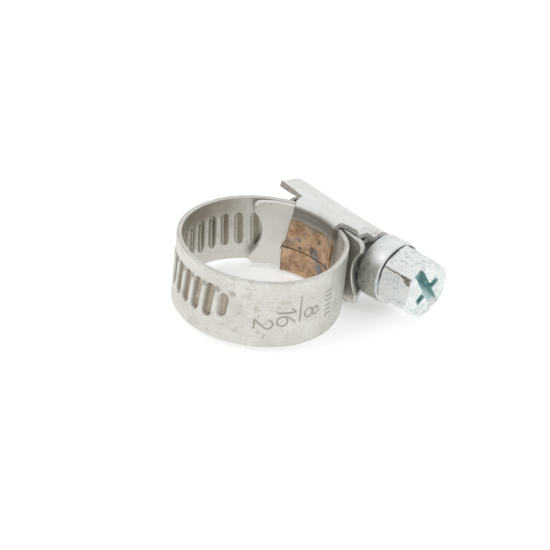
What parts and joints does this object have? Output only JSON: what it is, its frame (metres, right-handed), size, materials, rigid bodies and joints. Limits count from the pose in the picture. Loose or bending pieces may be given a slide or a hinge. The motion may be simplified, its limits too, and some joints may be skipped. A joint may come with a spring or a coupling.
{
  "type": "worm drive hose clamp",
  "caption": "Narrow steel worm drive hose clamp: a slotted band ring closes on a hose as the hexagon-headed screw in its housing is turned.",
  "frame": {"origin": "middle of the hose bore, at half the band's width", "axes": "+Z along the hose, +Y from the bore towards the screw housing, +X towards the screw's hexagon head"},
  "size_m": [0.0226, 0.0241, 0.0088],
  "materials": {
    "band_steel": "satin",
    "housing_steel": "satin",
    "screw_zinc": "zinc plated"
  },
  "bodies": {
    "housing": {"housing": "housing_steel", "band_fixed": "band_steel"},
    "link_1": {"link_1": "band_steel"},
    "link_2": {"link_2": "band_steel"},
    "link_3": {"link_3": "band_steel"},
    "link_4": {"link_4": "band_steel"},
    "link_5": {"link_5": "band_steel"},
    "link_6": {"link_6": "band_steel"},
    "link_7": {"link_7": "band_steel"},
    "link_8": {"link_8": "band_steel"},
    "link_9": {"link_9": "band_steel"},
    "tail": {"band_tail": "band_steel"},
    "screw": {"screw": "screw_zinc"}
  },
  "joints": [
    {"name": "screw_turn", "type": "hinge", "parent": "housing", "child": "screw", "pos_m": [0, 0.0115, 0], "axis": [-1, 0, 0], "range_deg": [0, 720]},
    {"name": "bend_0", "type": "hinge", "parent": "housing", "child": "link_1", "pos_m": [0.0044, 0.00763, 0], "axis": [0, 0, -1], "range_deg": [0, 1.96]},
    {"name": "bend_1", "type": "hinge", "parent": "link_1", "child": "link_2", "pos_m": [0.00618, 0.00603, 0], "axis": [0, 0, -1], "range_deg": [0, 1.83]},
    {"name": "bend_2", "type": "hinge", "parent": "link_2", "child": "link_3", "pos_m": [0.00809, 0.00172, 0], "axis": [0, 0, -1], "range_deg": [0, 1.87]},
    {"name": "bend_3", "type": "hinge", "parent": "link_3", "child": "link_4", "pos_m": [0.00744, -0.00362, 0], "axis": [0, 0, -1], "range_deg": [0, 2.18]},
    {"name": "bend_4", "type": "hinge", "parent": "link_4", "child": "link_5", "pos_m": [0.00364, -0.00743, 0], "axis": [0, 0, -1], "range_deg": [0, 2.56]},
    {"name": "bend_5", "type": "hinge", "parent": "link_5", "child": "link_6", "pos_m": [-0.00132, -0.00817, 0], "axis": [0, 0, -1], "range_deg": [0, 2.48]},
    {"name": "bend_6", "type": "hinge", "parent": "link_6", "child": "link_7", "pos_m": [-0.00593, -0.00612, 0], "axis": [0, 0, -1], "range_deg": [0, 1.98]},
    {"name": "bend_7", "type": "hinge", "parent": "link_7", "child": "link_8", "pos_m": [-0.00878, -0.00198, 0], "axis": [0, 0, -1], "range_deg": [0, 1.54]},
    {"name": "bend_8", "type": "hinge", "parent": "link_8", "child": "link_9", "pos_m": [-0.00884, 0.00305, 0], "axis": [0, 0, -1], "range_deg": [0, 1.81]},
    {"name": "bend_9", "type": "hinge", "parent": "link_9", "child": "tail", "pos_m": [-0.00609, 0.00726, 0], "axis": [0, 0, -1], "range_deg": [0, 2.48]}
  ],
  "couplings": [
    {"joint": "bend_0", "follows": "screw_turn", "ratio": 0.002697},
    {"joint": "bend_1", "follows": "screw_turn", "ratio": 0.002508},
    {"joint": "bend_2", "follows": "screw_turn", "ratio": 0.002569},
    {"joint": "bend_3", "follows": "screw_turn", "ratio": 0.002997},
    {"joint": "bend_4", "follows": "screw_turn", "ratio": 0.003533},
    {"joint": "bend_5", "follows": "screw_turn", "ratio": 0.003414},
    {"joint": "bend_6", "follows": "screw_turn", "ratio": 0.002722},
    {"joint": "bend_7", "follows": "screw_turn", "ratio": 0.002114},
    {"joint": "bend_8", "follows": "screw_turn", "ratio": 0.002492},
    {"joint": "bend_9", "follows": "screw_turn", "ratio": 0.003414}
  ]
}
